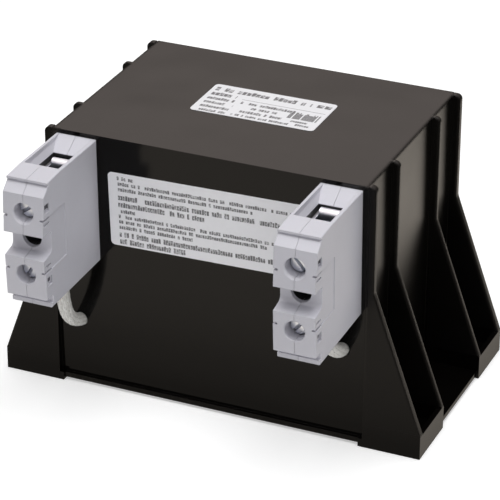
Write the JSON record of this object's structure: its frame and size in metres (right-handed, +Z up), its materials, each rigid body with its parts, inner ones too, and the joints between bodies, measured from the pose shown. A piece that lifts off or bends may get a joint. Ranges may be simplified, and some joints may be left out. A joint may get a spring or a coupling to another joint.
{
  "type": "potted DC-link choke",
  "caption": "Black potted inductor: ribbed housing with bolt-down feet, white labels and grey two-clamp terminal blocks on its leaning front wall.",
  "frame": {"origin": "centre of the four foot bolts, on the plane the feet stand on", "axes": "+X across the front towards the right foot, +Y towards the back, +Z up; the terminal blocks are on the -Y side"},
  "size_m": [0.208, 0.1632, 0.1302],
  "materials": {
    "black_plastic": "smooth moulded",
    "cast_resin": "poured, wavy",
    "core_steel": "stacked sheets",
    "insulation": "plain",
    "zinc_steel": "zinc plated",
    "copper": "enamelled",
    "label_film": "smooth film",
    "woven_sleeve": "woven",
    "grey_plastic": "fine satin",
    "clamp_metal": "plated",
    "tinned_copper": "tin plated"
  },
  "bodies": {
    "root": {"housing": "black_plastic", "potting_compound": "cast_resin", "e_core": "core_steel", "i_core": "core_steel", "air_gap_spacers": "insulation", "core_bolts": "zinc_steel", "core_nuts": "zinc_steel", "coil_former": "insulation", "winding": "copper", "winding_wrap": "insulation", "rating_label": "label_film", "front_label": "label_film", "left_lead_wire": "copper", "left_lead_sleeve": "woven_sleeve", "left_block_left_shell": "grey_plastic", "left_block_right_shell": "grey_plastic", "left_block_upper_cage": "clamp_metal", "left_block_lower_cage": "clamp_metal", "left_block_upper_screw": "clamp_metal", "left_block_lower_screw": "clamp_metal", "left_block_current_bar": "tinned_copper", "left_block_mounting_screw": "zinc_steel", "right_lead_wire": "copper", "right_lead_sleeve": "woven_sleeve", "right_block_left_shell": "grey_plastic", "right_block_right_shell": "grey_plastic", "right_block_upper_cage": "clamp_metal", "right_block_lower_cage": "clamp_metal", "right_block_upper_screw": "clamp_metal", "right_block_lower_screw": "clamp_metal", "right_block_current_bar": "tinned_copper", "right_block_mounting_screw": "zinc_steel"}
  },
  "joints": []
}
